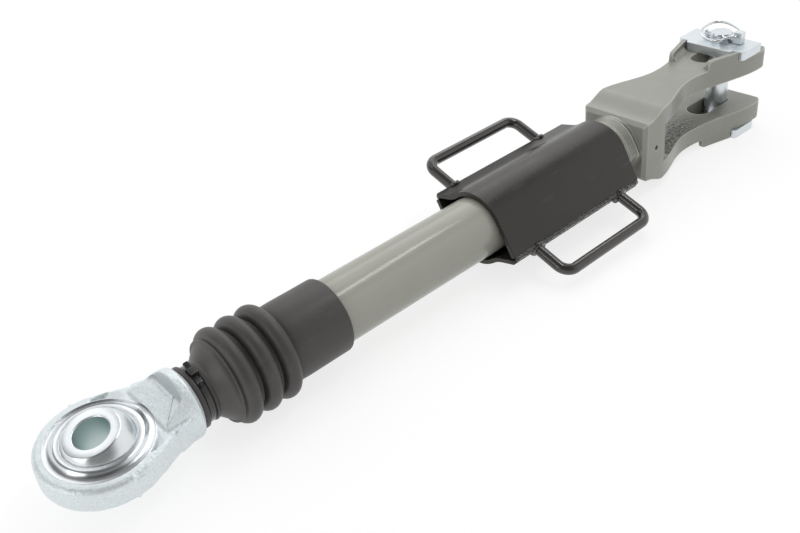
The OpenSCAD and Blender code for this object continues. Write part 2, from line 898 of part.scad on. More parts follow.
// forged eye with boss, seat and right-hand threaded shank
module ball_eye() {
    half = eye_t / 2;
    color([0.78, 0.82, 0.85])
        rotate([eye_turn, 0, 0])
            difference() {
                union() {
                    difference() {
                        union() {
                            rotate_extrude()
                                eye_ring_section();
                            mirror([0, 0, 1])
                                rotate_extrude()
                                    eye_ring_section();
                            translate([0, 0, -half])
                                linear_extrude(height = eye_t)
                                    neck_plan();
                            about_x()
                                boss_outline();
                        }
                        for (m = [0, 1]) {
                            mirror([0, 0, m])
                                translate([boss_start - 4, 0, half])
                                    rotate([0, -pocket_slope, 0])
                                        translate([4 - boss_start, 0, 0])
                                            linear_extrude(height = 40)
                                                pocket_plan();
                        }
                        cylinder(r = dish_r, h = 80, center = true);
                    }
                    rotate_extrude()
                        eye_hub_section();
                    mirror([0, 0, 1])
                        rotate_extrude()
                            eye_hub_section();
                    along_x(boss_end - 1, shoulder_len + 1)
                        circle(r = shoulder_r);
                    along_x(boss_end, groove_end - boss_end)
                        circle(r = seat_r);
                    along_x(boss_end, eye_shank_end - boss_end)
                        circle(r = spindle_r);
                }
                sphere(r = ball_r + ball_gap);
            }
}

// outline of the boss as (x, radius)
module boss_outline() {
    translate([boss_start, 0])
        square([boss_end - boss_round - boss_start, boss_r]);
    translate([boss_start, 0])
        square([boss_end - boss_start, boss_r - boss_round]);
    translate([boss_end - boss_round, boss_r - boss_round])
        circle(r = boss_round);
}

// swivel ball with flat faces and pin hole
module swivel_ball() {
    color([0.80, 0.84, 0.86])
        rotate([eye_turn, 0, 0])
            rotate([0, -ball_lean, 0])
                difference() {
                    intersection() {
                        sphere(r = ball_r);
                        cube([4 * ball_r, 4 * ball_r, ball_w], center = true);
                    }
                    cylinder(r = ball_bore_r, h = 4 * ball_r, center = true);
                }
}

fork_forging();
fork_spindle();
spindle_lock_pin();
clevis_pin();
lower_key_plate();
upper_key_plate();
linch_pin();
linch_ring();
barrel_tube();
tube_shaped_nut();
tube_thread_bush();
sleeve_upper_shell();
sleeve_lower_shell();
right_seam_weld();
left_seam_weld();
right_handle();
left_handle();
right_handle_welds();
left_handle_welds();
rubber_boot();
boot_cable_tie();
ball_eye();
swivel_ball();
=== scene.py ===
"""Looks of an adjustable tractor lift rod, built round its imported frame."""

import json
import math

import bmesh
import bpy
import numpy as np
from mathutils import Matrix, Vector, noise


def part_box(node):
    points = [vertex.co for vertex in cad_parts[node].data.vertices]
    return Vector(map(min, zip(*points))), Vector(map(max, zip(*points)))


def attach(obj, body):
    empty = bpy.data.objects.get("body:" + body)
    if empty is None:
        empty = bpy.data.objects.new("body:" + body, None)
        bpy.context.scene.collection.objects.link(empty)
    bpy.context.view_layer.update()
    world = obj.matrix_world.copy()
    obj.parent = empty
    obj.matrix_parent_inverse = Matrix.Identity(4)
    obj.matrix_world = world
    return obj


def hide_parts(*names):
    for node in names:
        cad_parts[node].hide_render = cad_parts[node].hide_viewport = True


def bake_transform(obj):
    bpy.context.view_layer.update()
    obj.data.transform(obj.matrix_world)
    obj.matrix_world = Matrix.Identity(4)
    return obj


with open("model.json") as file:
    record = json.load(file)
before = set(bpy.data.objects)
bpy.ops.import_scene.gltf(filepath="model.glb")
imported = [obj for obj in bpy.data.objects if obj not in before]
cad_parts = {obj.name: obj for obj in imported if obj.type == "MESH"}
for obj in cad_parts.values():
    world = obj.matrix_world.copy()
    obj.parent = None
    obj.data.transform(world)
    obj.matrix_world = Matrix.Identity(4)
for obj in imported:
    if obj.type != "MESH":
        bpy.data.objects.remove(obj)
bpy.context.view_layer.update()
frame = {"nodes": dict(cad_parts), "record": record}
NODES = frame["nodes"]

VOXEL_SCALE = 1.0
PASS_SCALE = 1.0

# lengths are in millimetres unless a comment says otherwise, and MM turns them into metres
MM = 0.001

# turns of the eye about the rod and of the ball in the eye
EYE_TURN = math.radians(6)
BALL_LEAN = math.radians(11)

# places along the rod, from the ball's centre
SEAT_X = 69.0
TIE_X = 79.4
BLOCK_X = 598.4
THROAT_START = 632.0
THROAT_END = 745.0
NOTCH_X = 772.0

# heights over the middle plane, and radii
EYE_FACE = 11.5
EAR_SIDE = 42.5
RACE_R = 31.05
BALL_R = 31.0
BALL_BORE_R = 13.9
LOCK_R = 31.1
LOCK_CORNER_R = 35.4


# helpers for shapes

def link(name, mesh):
    """Links a new mesh object with smooth faces."""
    obj = bpy.data.objects.new(name, mesh)
    bpy.context.scene.collection.objects.link(obj)
    for polygon in mesh.polygons:
        polygon.use_smooth = True
    return obj


def mesh_from(name, points, faces):
    """Mesh object from points in millimetres and faces."""
    mesh = bpy.data.meshes.new(name)
    mesh.from_pydata([tuple(c * MM for c in p) for p in points], [], faces)
    mesh.update()
    return link(name, mesh)


def spin(name, profile, place, segments=96, wobble=None):
    """Turns a closed profile of (along, radius); place maps (along, side, side) to the rod's frame."""
    points, faces = [], []
    rows = len(profile)
    for s, r in profile:
        for k in range(segments):
            a = 2 * math.pi * k / segments
            reach = r + (wobble(s, r, a) if wobble else 0.0)
            points.append(place(s, reach * math.cos(a), reach * math.sin(a)))
    for i in range(rows):
        for k in range(segments):
            n = (k + 1) % segments
            j = (i + 1) % rows
            faces.append((i * segments + k, j * segments + k, j * segments + n, i * segments + n))
    obj = mesh_from(name, points, faces)
    tidy_normals(obj.data)
    return obj


def tidy_normals(mesh):
    """Turns all faces outwards."""
    bm = bmesh.new()
    bm.from_mesh(mesh)
    bmesh.ops.recalc_face_normals(bm, faces=bm.faces)
    bm.to_mesh(mesh)
    bm.free()


def along_rod(s, a, b):
    """Profile frame to the rod's frame for a piece turned about X."""
    return (s, a, b)


def on_eye(s, a, b):
    """Profile frame to the rod's frame for a piece turned about the eye's axis."""
    c, d = math.cos(EYE_TURN), math.sin(EYE_TURN)
    return (a, b * c - s * d, b * d + s * c)


def on_ball(s, a, b):
    """Profile frame to the rod's frame for a piece turned about the leaning ball's axis."""
    c, d = math.cos(BALL_LEAN), math.sin(BALL_LEAN)
    x, z = a * c - s * d, a * d + s * c
    return on_eye(z, x, b)


def arc(cx, cy, r, a0, a1, n):
    """Points of an arc, angles in degrees."""
    return [(cx + r * math.cos(math.radians(a0 + (a1 - a0) * k / n)),
             cy + r * math.sin(math.radians(a0 + (a1 - a0) * k / n))) for k in range(n + 1)]


def smooth_path(points, per):
    """Catmull-Rom line through points, with a number of steps per stretch."""
    p = [Vector(q) for q in points]
    n = len(p)
    out = []
    for i in range(n - 1):
        a, b, c, d = p[max(i - 1, 0)], p[i], p[i + 1], p[min(i + 2, n - 1)]
        for k in range(per):
            t = k / per
            out.append(0.5 * ((2 * b) + (c - a) * t + (2 * a - 5 * b + 4 * c - d) * t * t
                              + (3 * b - a - 3 * c + d) * t ** 3))
    out.append(p[-1])
    return out


def sweep(name, path, radius, sides):
    """Round bar along a path in millimetres; radius is a number or a function of step and angle."""
    n = len(path)
    points, faces = [], []
    side = None
    for i in range(n):
        t = (path[min(i + 1, n - 1)] - path[max(i - 1, 0)]).normalized()
        side = t.orthogonal().normalized() if side is None else (side - t * side.dot(t)).normalized()
        up = t.cross(side)
        for k in range(sides):
            a = 2 * math.pi * k / sides
            r = radius(i, a) if callable(radius) else radius
            points.append(path[i] + (side * math.cos(a) + up * math.sin(a)) * r)
    for i in range(n - 1):
        for k in range(sides):
            m = (k + 1) % sides
            faces.append((i * sides + k, i * sides + m, (i + 1) * sides + m, (i + 1) * sides + k))
    faces.append(tuple(range(sides))[::-1])
    faces.append(tuple((n - 1) * sides + k for k in range(sides)))
    return mesh_from(name, points, faces)


def clean_copy(node, name):
    """New piece with the clean faces of a frame node: doubled points and flat edges are gone."""
    same_point = 0.002 * MM
    flat_angle = math.radians(0.4)
    bm = bmesh.new()
    bm.from_mesh(NODES[node].data)
    bmesh.ops.remove_doubles(bm, verts=bm.verts, dist=same_point)
    bmesh.ops.dissolve_limit(bm, angle_limit=flat_angle, verts=bm.verts, edges=bm.edges)
    bm.verts.index_update()
    points = [tuple(v.co) for v in bm.verts]
    faces = [[v.index for v in f.verts] for f in bm.faces]
    bm.free()
    mesh = bpy.data.meshes.new(name)
    mesh.from_pydata(points, [], faces)
    mesh.update()
    return link(name, mesh)


def evaluated(obj):
    """Bakes an object's modifiers into its mesh."""
    deps = bpy.context.evaluated_depsgraph_get()
    deps.update()
    mesh = bpy.data.meshes.new_from_object(obj.evaluated_get(deps))
    obj.modifiers.clear()
    obj.data = mesh
    for polygon in mesh.polygons:
        polygon.use_smooth = True


def weighted(obj, weight):
    """Lets large faces rule the shading."""
    shade = obj.modifiers.new("shade", "WEIGHTED_NORMAL")
    shade.weight = weight
    return obj


def edged(obj, width, segments=2):
    """Real rounded edges where faces meet at 32 degrees or more."""
    bevel = obj.modifiers.new("edges", "BEVEL")
    bevel.width = width * MM
    bevel.segments = segments
    bevel.limit_method = "ANGLE"
    bevel.angle_limit = math.radians(32)
    bevel.use_clamp_overlap = True
    return weighted(obj, 80)


def soft_solid(obj, voxel, passes, keep=None, carve=None):
    """Rebuilds a closed shape as a fine even mesh, carves it and softens its edges where keep is low.

    keep and carve take an array of points in millimetres; keep gives 0 for soft to 1 for crisp, and
    carve gives the moved points.
    """
    remesh = obj.modifiers.new("even", "REMESH")
    remesh.mode = "VOXEL"
    remesh.voxel_size = voxel * MM * VOXEL_SCALE
    remesh.use_smooth_shade = True
    evaluated(obj)
    count = len(obj.data.vertices)
    co = np.zeros(count * 3)
    obj.data.vertices.foreach_get("co", co)
    co = co.reshape(-1, 3) / MM
    if carve:
        co = carve(co)
        obj.data.vertices.foreach_set("co", (co * MM).ravel())
        obj.data.update()
    weight = np.ones(count) if keep is None else 1 - keep(co)
    group = obj.vertex_groups.new(name="soft")
    levels = 10
    for k in range(1, levels + 1):
        chosen = np.nonzero(np.round(weight * levels) == k)[0]
        if len(chosen):
            group.add(chosen.tolist(), k / levels, "REPLACE")
    smooth = obj.modifiers.new("soft", "SMOOTH")
    smooth.factor = 0.5
    smooth.iterations = max(1, round(passes / PASS_SCALE))
    smooth.vertex_group = "soft"
    evaluated(obj)
    obj.vertex_groups.clear()


def points_of(obj):
    """Vertex places in millimetres and vertex normals."""
    n = len(obj.data.vertices)
    co, no = np.zeros(n * 3), np.zeros(n * 3)
    obj.data.vertices.foreach_get("co", co)
    obj.data.vertices.foreach_get("normal", no)
    return co.reshape(-1, 3) / MM, no.reshape(-1, 3)


def skin(obj, depth):
    """Forging skin: pushes each point in along its normal by depth(point)."""
    co, no = points_of(obj)
    push = np.array([depth(Vector(p)) for p in co])
    co = co - no * push[:, None]
    obj.data.vertices.foreach_set("co", (co * MM).ravel())
    obj.data.update()


def grain(p, size, seed=0.0):
    """Noise between 0 and 1 of a size in millimetres."""
    return 0.5 + 0.5 * noise.noise(p / size + Vector((seed, seed * 0.7, -seed)))


def inside_plan(x, y, plan):
    """Tells which points lie inside a closed outline."""
    within = np.zeros(len(x), dtype=bool)
    for (x0, y0), (x1, y1) in zip(plan, plan[1:] + plan[:1]):
        if y0 == y1:
            continue
        crosses = (y0 > y) != (y1 > y)
        within ^= crosses & (x < (x1 - x0) * (y - y0) / (y1 - y0) + x0)
    return within


def eye_frame(p):
    """A point in the turned eye's own frame."""
    c, d = math.cos(EYE_TURN), math.sin(EYE_TURN)
    return p[..., 0], p[..., 1] * c + p[..., 2] * d, p[..., 2] * c - p[..., 1] * d


# materials

def tone(colour, factor):
    """A colour made lighter or darker by a factor."""
    return tuple(c * factor for c in colour)


class Nodes:
    """Small helper that adds shader nodes to one material; places and lengths in it are in metres."""

    def __init__(self, name):
        self.mat = bpy.data.materials.new(name)
        self.mat.use_nodes = True
        self.tree = self.mat.node_tree
        self.bsdf = self.tree.nodes["Principled BSDF"]
        self.coord = self.add("ShaderNodeTexCoord").outputs["Object"]

    def add(self, kind, **inputs):
        """New node with its inputs by name, or by number as _0, _1 and so on."""
        node = self.tree.nodes.new(kind)
        for key, value in inputs.items():
            self.put(node, key, value)
        return node

    def put(self, node, key, value):
        """Sets an input to a value or links it to another node's output."""
        socket = node.inputs[int(key[1:]) if key[0] == "_" else key.replace("_", " ")]
        if isinstance(value, bpy.types.NodeSocket):
            self.tree.links.new(value, socket)
        else:
            socket.default_value = value

    def noise(self, scale, detail=3.0, rough=0.55, stretch=None, seed=0.0):
        """Noise in object coordinates, stretched or moved on request."""
        vector = self.coord
        if stretch or seed:
            mapping = self.add("ShaderNodeMapping", Vector=vector)
            mapping.inputs["Scale"].default_value = stretch or (1, 1, 1)
            mapping.inputs["Location"].default_value = (seed, seed * 0.7, seed * 1.3)
            vector = mapping.outputs[0]
        node = self.add("ShaderNodeTexNoise", Vector=vector, Scale=scale, Detail=detail, Roughness=rough)
        return node.outputs["Fac"]

    def ramp(self, fac, stops):
        """Ramp through (place, grey) stops."""
        node = self.add("ShaderNodeValToRGB", Fac=fac)
        elements = node.color_ramp.elements
        while len(elements) < len(stops):
            elements.new(0.5)
        for element, (pos, value) in zip(elements, stops):
            element.position = pos
            element.color = (value, value, value, 1)
        return node.outputs["Color"]

    def math(self, operation, a, b=0.0):
        """One step of arithmetic."""
        node = self.add("ShaderNodeMath")
        node.operation = operation
        self.put(node, "_0", a)
        self.put(node, "_1", b)
        return node.outputs[0]

    def mix(self, fac, a, b):
        """Mixes two colours."""
        node = self.tree.nodes.new("ShaderNodeMix")
        node.data_type = "RGBA"
        self.put(node, "_0", fac)
        self.put(node, "_6", a if isinstance(a, bpy.types.NodeSocket) else (*a, 1))
        self.put(node, "_7", b if isinstance(b, bpy.types.NodeSocket) else (*b, 1))
        return node.outputs[2]

    def mix_value(self, fac, a, b):
        """Mixes two numbers."""
        node = self.tree.nodes.new("ShaderNodeMix")
        node.data_type = "FLOAT"
        self.put(node, "_0", fac)
        self.put(node, "_2", a)
        self.put(node, "_3", b)
        return node.outputs[0]

    def fade(self, value, start, end, top=1.0):
        """Falls from top to 0 while a value grows from start to end."""
        return self.add("ShaderNodeMapRange", _0=value, _1=start, _2=end, _3=top, _4=0.0).outputs[0]

    def patches(self, colour, amount):
        """A colour in slowly changing lighter and darker patches."""
        fac = self.ramp(self.noise(14, 4, 0.6), [(0.35, 0.0), (0.65, 1.0)])
        return self.mix(fac, tone(colour, 1 - amount), tone(colour, 1 + amount))

    def turned(self, angles=()):
        """Object coordinates as X, Y, Z, in a frame turned by a list of angles."""
        vector = self.coord
        for angle in angles:
            mapping = self.add("ShaderNodeMapping", Vector=vector)
            mapping.inputs["Rotation"].default_value = angle
            vector = mapping.outputs[0]
        node = self.add("ShaderNodeSeparateXYZ", Vector=vector)
        return node.outputs["X"], node.outputs["Y"], node.outputs["Z"]

    def radius(self, a, b):
        """Distance from the axis of two coordinates."""
        return self.math("SQRT", self.math("ADD", self.math("MULTIPLY", a, a), self.math("MULTIPLY", b, b)))

    def rings(self, radial, count):
        """Fine turning marks."""
        vector = self.add("ShaderNodeCombineXYZ", X=radial).outputs[0]
        wave = self.add("ShaderNodeTexWave", Vector=vector, Scale=count, Distortion=0.5, Detail=2)
        return wave.outputs["Fac"]

    def bump(self, height, strength, distance, normal=None):
        """Bump on top of an earlier one, if given."""
        node = self.add("ShaderNodeBump", Height=height, Strength=strength, Distance=distance)
        if normal is not None:
            self.put(node, "Normal", normal)
        return node.outputs[0]

    def set(self, **inputs):
        """Sets the surface shader and gives the finished material."""
        for key, value in inputs.items():
            self.put(self.bsdf, key, value)
        return self.mat


def paint(name, colour, rough, uneven, skin_depth=0.0, coat=0.0):
    """Paint on steel: orange peel, slight unevenness and dust; skin_depth adds the skin of a forging."""
    n = Nodes(name)
    base = n.patches(colour, uneven)
    speck = n.ramp(n.noise(420, 2, 0.5, seed=7.7), [(0.72, 0.0), (0.78, 1.0)])
    base = n.mix(n.math("MULTIPLY", speck, 0.16), base, tuple(c * 1.7 + 0.03 for c in colour))
    normal = n.bump(n.noise(600, 2, 0.5, seed=3.1), 0.05, 0.0003)
    if skin_depth:
        normal = n.bump(n.noise(260, 5, 0.6, seed=1.9), skin_depth, 0.0010, normal)
    roughness = n.mix_value(n.noise(60, 3, seed=5.0), rough - 0.05, rough + 0.07)
    return n.set(Base_Color=base, Metallic=0.0, Roughness=roughness, Normal=normal, Coat_Weight=coat,
                 Coat_Roughness=0.08)


def forged_paint(name, colour, rough):
    """Paint on the fork, with painted highlights on its edges, painted shade in its hollows, and blotchy
    painted shade in its throat.
    """
    n = Nodes(name)
    base = n.patches(colour, 0.05)
    pointed = n.add("ShaderNodeNewGeometry").outputs["Pointiness"]
    # painted highlight: the fork's pointed edges get a lighter colour
    edge = n.math("MULTIPLY", n.ramp(pointed, [(0.504, 0.0), (0.53, 1.0)]), 0.58)
    base = n.mix(edge, base, tone(colour, 2.0))
    # painted shade: the fork's hollows get a darker colour
    hollow = n.math("MULTIPLY", n.ramp(pointed, [(0.465, 1.0), (0.497, 0.0)]), 0.70)
    base = n.mix(hollow, base, tone(colour, 0.55))
    # painted shade: the throat between the ears gets darker in blotches, most deep inside and fading towards
    # the mouth
    gap_half, fade_start, fade_end = 0.0217, 0.700, 0.748
    x, _, z = n.turned()
    gap = n.math("LESS_THAN", n.math("ABSOLUTE", z), gap_half)
    behind_block = n.math("GREATER_THAN", x, THROAT_START * MM)
    throat = n.math("MULTIPLY", gap, n.math("MULTIPLY", n.fade(x, fade_start, fade_end), behind_block))
    shade_blotches = n.ramp(n.noise(240, 4, 0.65, seed=6.0), [(0.35, 0.45), (0.65, 1.0)])
    base = n.mix(n.math("MULTIPLY", throat, shade_blotches), base, tone(colour, 0.44))
    normal = n.bump(n.noise(600, 2, 0.5, seed=3.1), 0.05, 0.0003)
    normal = n.bump(n.noise(260, 5, 0.6, seed=1.9), 0.12, 0.0010, normal)
    roughness = n.mix_value(n.noise(60, 3, seed=5.0), rough - 0.05, rough + 0.07)
    return n.set(Base_Color=base, Roughness=roughness, Normal=normal, Coat_Weight=0.25, Coat_Roughness=0.12)


def satin_black(name, colour, rough):
    """Thin satin black on rolled plate, with scuffs and grey rub marks."""
    n = Nodes(name)
    grey, light_grey = (0.16, 0.155, 0.145), (0.20, 0.195, 0.18)
    base = n.mix(n.noise(22, 4, 0.6), tone(colour, 0.82), tone(colour, 1.2))
    scuff = n.ramp(n.noise(60, 6, 0.72, (0.35, 1, 1), 9.0), [(0.60, 0.0), (0.72, 1.0)])
    base = n.mix(n.math("MULTIPLY", scuff, 0.12), base, grey)
    scratch = n.ramp(n.noise(150, 3, 0.5, (0.12, 1.4, 1.4), 4.0), [(0.69, 0.0), (0.71, 1.0)])
    base = n.mix(n.math("MULTIPLY", scratch, 0.12), base, light_grey)
    normal = n.bump(n.noise(500, 3, 0.5, seed=3.1), 0.10, 0.0003)
    roughness = n.mix_value(n.noise(45, 4, 0.6, seed=5.0), rough - 0.07, rough + 0.12)
    return n.set(Base_Color=base, Roughness=roughness, Normal=normal, Specular_IOR_Level=0.46,
                 Specular_Tint=(1.0, 0.96, 0.90, 1))


def plated(name, colour, rough, skin_depth):
    """Zinc plate: bluish metal with cloudy roughness and a fine skin."""
    n = Nodes(name)
    base = n.mix(n.noise(26, 4, 0.6), tone(colour, 0.90), colour)
    normal = n.bump(n.noise(520, 4, 0.6, seed=2.3), skin_depth, 0.0004)
    roughness = n.mix_value(n.noise(90, 4, 0.6, seed=4.0), rough - 0.08, rough + 0.12)
    return n.set(Base_Color=base, Metallic=0.9, Roughness=roughness, Normal=normal)


def steel(name, colour, rough=0.35):
    """Bare machined steel."""
    n = Nodes(name)
    base = n.mix(n.noise(80, 3), tone(colour, 0.85), colour)
    normal = n.bump(n.noise(900, 2, seed=1.0), 0.06, 0.0003)
    roughness = n.mix_value(n.noise(140, 3, seed=6.0), rough - 0.05, rough + 0.1)
    return n.set(Base_Color=base, Metallic=1.0, Roughness=roughness, Normal=normal)


def rubber(name, colour):
    """Matt moulded rubber with handling marks, and painted light that makes the boot's cone lighter."""
    n = Nodes(name)
    base = n.mix(n.noise(30, 5, 0.65), tone(colour, 0.88), tone(colour, 1.14))
    marks = n.ramp(n.noise(55, 6, 0.7, (0.4, 1, 1), 9.0), [(0.52, 0.0), (0.74, 1.0)])
    base = n.mix(n.math("MULTIPLY", marks, 0.38), base, tuple(c * 1.6 + 0.02 for c in colour))
    # painted light: the boot's cone gets a lighter colour, fading out along the rod
    cone_start, fade_start, fade_end = 0.0865, 0.096, 0.106
    x, _, _ = n.turned()
    behind_bead = n.math("GREATER_THAN", x, cone_start)
    cone = n.math("MULTIPLY", n.fade(x, fade_start, fade_end, 0.45), behind_bead)
    base = n.mix(cone, base, tone(colour, 2.0))
    normal = n.bump(n.noise(900, 3, 0.6), 0.12, 0.0004)
    roughness = n.mix_value(n.noise(40, 4, seed=2.0), 0.38, 0.52)
    return n.set(Base_Color=base, Roughness=roughness, Normal=normal, Specular_IOR_Level=0.50)


def forged_zinc(name, colour):
    """Zinc on the forged eye: pitted and cloudy, with painted shade in its hollows and on their end walls.
    """
    n = Nodes(name)
    cloudy = n.noise(30, 5, 0.6, seed=2.0)
    pits = n.ramp(n.noise(620, 4, 0.7, seed=4.4), [(0.30, 0.0), (0.62, 1.0)])
    base = n.mix(cloudy, tone(colour, 0.92), colour)
    base = n.mix(pits, tone(colour, 0.80), base)
    geometry = n.add("ShaderNodeNewGeometry").outputs
    # painted shade: the eye's hollows get a darker colour
    hollow = n.ramp(geometry["Pointiness"], [(0.46, 1.0), (0.496, 0.0)])
    base = n.mix(n.math("MULTIPLY", hollow, 0.75), base, tone(colour, 0.50))
    # painted shade: faces turned back towards the ball, beyond 50 mm, get a darker colour
    facing = n.add("ShaderNodeSeparateXYZ", Vector=geometry["Normal"]).outputs["X"]
    wall_start = 0.050
    x, _, _ = n.turned()
    wall = n.math("MULTIPLY", n.fade(facing, -0.75, -0.45), n.math("GREATER_THAN", x, wall_start))
    base = n.mix(n.math("MULTIPLY", wall, 0.65), base, tone(colour, 0.52))
    rough = n.mix_value(n.noise(160, 4, seed=1.0), 0.30, 0.50)
    normal = n.bump(n.noise(330, 6, 0.65), 0.38, 0.0010)
    normal = n.bump(pits, 0.22, 0.0003, normal)
    return n.set(Base_Color=base, Metallic=0.52, Roughness=rough, Normal=normal)


def turned_zinc(name, colour, angles, rough, bore=None):
    """Bright turned surface with fine rings about a turned axis; bore is the radius of a hole, rougher and
    darker with painted shade.
    """
    n = Nodes(name)
    x, y, _ = n.turned(angles)
    radial = n.radius(x, y)
    base = n.mix(n.noise(60, 4, 0.6, seed=3.0), tone(colour, 0.93), colour)
    rings = n.rings(radial, 700)
    roughness = n.mix_value(n.noise(120, 3, seed=1.5), rough - 0.03, rough + 0.08)
    if bore:
        # inside the bore: a rougher finish, and a darker colour that is painted shade
        shaded_bore_zinc = (0.60, 0.70, 0.69)
        inside = n.math("LESS_THAN", radial, bore)
        base = n.mix(inside, base, shaded_bore_zinc)
        roughness = n.mix_value(inside, roughness, 0.42)
    normal = n.bump(rings, 0.10, 0.00015)
    return n.set(Base_Color=base, Metallic=1.0, Roughness=roughness, Normal=normal)


OLIVE = (0.300, 0.302, 0.265)
TUBE_OLIVE = (0.378, 0.379, 0.328)
BLACK = (0.021, 0.020, 0.018)
GLOSS_BLACK = (0.029, 0.025, 0.022)
NYLON_BLACK = (0.020, 0.020, 0.019)
RUBBER_GREY = (0.060, 0.056, 0.054)
STEEL = (0.42, 0.42, 0.41)
DARK_STEEL = (0.06, 0.06, 0.055)
ZINC = (0.74, 0.79, 0.82)
FORGED_ZINC = (0.89, 0.965, 0.985)
BRIGHT = (0.76, 0.79, 0.81)
EYE_AXIS = [(-EYE_TURN, 0, 0)]
BALL_AXIS = EYE_AXIS + [(0, BALL_LEAN, 0)]

LOOKS = {
    "fork_paint": forged_paint("fork_paint_look", OLIVE, 0.36),
    "tube_paint": paint("tube_paint_look", TUBE_OLIVE, 0.16, 0.02),
    # painted shade: the nut gets the fork's olive made darker, for the shade of the sleeve's end
    "nut_paint": paint("nut_paint_look", tone(OLIVE, 0.72), 0.30, 0.05, 0.05),
    "sleeve_black": satin_black("sleeve_black_look", BLACK, 0.27),
    "handle_black": paint("handle_black_look", GLOSS_BLACK, 0.14, 0.14, 0.26, 0.6),
    "weld_black": paint("weld_black_look", BLACK, 0.14, 0.12, 0.3, 0.7),
    "thread_steel": steel("thread_steel_look", STEEL),
    "bush_steel": steel("bush_steel_look", STEEL),
    "lock_pin_steel": steel("lock_pin_steel_look", DARK_STEEL, 0.5),
    "pin_zinc": plated("pin_zinc_look", ZINC, 0.22, 0.05),
    "plate_zinc": plated("plate_zinc_look", ZINC, 0.34, 0.12),
    "linch_zinc": plated("linch_zinc_look", ZINC, 0.28, 0.15),
    "ring_zinc": plated("ring_zinc_look", BRIGHT, 0.20, 0.05),
    "eye_zinc": forged_zinc("eye_zinc_look", FORGED_ZINC),
    "ball_steel": turned_zinc("ball_steel_look", BRIGHT, BALL_AXIS, 0.20, 0.01395),
    "boot_rubber": rubber("boot_rubber_look", RUBBER_GREY),
    "tie_nylon": paint("tie_nylon_look", NYLON_BLACK, 0.22, 0.1, 0.0, 0.4),
}
TURNED = turned_zinc("eye_turned_look", BRIGHT, EYE_AXIS, 0.15)
SLOT_OF = {s["node"]: s["material_slot"] for s in frame["record"]["subparts"]}


def stand_for(obj, body, *nodes, slot=None, look=None):
    """Gives a new piece its look and its body, if it has a single one, and hides the nodes it stands for."""
    slot = slot or SLOT_OF[nodes[0]]
    obj.data.materials.clear()
    obj.data.materials.append(look or LOOKS[slot])
    if nodes:
        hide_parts(*nodes)
    if body:
        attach(obj, body)


# every CAD piece gets its look, and those with a richer shape are hidden further on
for node_name, node in NODES.items():
    node.data.materials.clear()
    node.data.materials.append(LOOKS[SLOT_OF[node_name]])


# forged fork

def make_fork():
    """Fork with soft forged edges and skin, rough in its throat."""
    gap_half, ear_half_w, collar_room = 21.6, 45, 2.4
    root_r, corner_span = 26.0, math.radians(30)
    fork = clean_copy("fork_forging", "fork_forging_look")

    def keep(co):
        """Keeps the notches for the key plates fairly crisp."""
        notch = np.clip(1 - np.abs(co[:, 0] - NOTCH_X) / 2.5, 0, 1) * (np.abs(co[:, 2]) > EAR_SIDE)
        return 0.6 * notch

    soft_solid(fork, 0.74, 8, keep)

    def depth(p):
        """Sinks the plain boss under its crisp collar, and roughens the skin, most of all in the throat."""
        if p.x < BLOCK_X:
            return collar_room * min(1.0, BLOCK_X - p.x)
        push = 0.16 * grain(p, 9.0) + 0.06 * grain(p, 3.0, 5.0)
        if THROAT_START < p.x < THROAT_END and abs(p.z) < gap_half and abs(p.y) < ear_half_w:
            fade = min(1.0, (THROAT_END - p.x) / 40, (p.x - THROAT_START) / 4)
            push += fade * (1.5 * grain(p, 2.3, 9.0) ** 2 + 0.7 * grain(p, 5.0, 2.0))
        return push

    skin(fork, depth)
    stand_for(fork, "fork", "fork_forging")

    def corner(x, r, a):
        """Adds the two pointed corners of the locking section and a little forging flash."""
        if r < root_r:
            return 0.0
        turn = abs(math.asin(max(-1.0, min(1.0, math.sin(a)))))
        peak = 0.0
        if turn < corner_span:
            peak = min(LOCK_R / math.cos(corner_span - turn), LOCK_CORNER_R / math.cos(turn)) - LOCK_R
        flash = 0.22 * noise.noise(Vector((x, 9 * math.cos(a), 9 * math.sin(a)))) if 594 < x < 597 else 0.0
        return peak * (r - root_r) / (LOCK_R - root_r) + flash - 0.1

    profile = [(581.0, 18.4), (581.0, 29.9), (581.5, 30.5), (582.9, 30.6), (583.3, 31.05), (584.0, 31.1),
               (584.6, 30.45), (585.4, 30.3), (593.4, 30.3), (594.4, 30.5), (595.0, 31.05), (595.8, 31.05),
               (596.4, 30.3), (597.2, 28.6), (598.4, 27.4), (600.5, 27.0), (600.5, 18.4)]
    collar = spin("fork_collar_look", profile, along_rod, 180, corner)
    stand_for(weighted(collar, 70), "fork", "fork_forging")


make_fork()


# ball eye

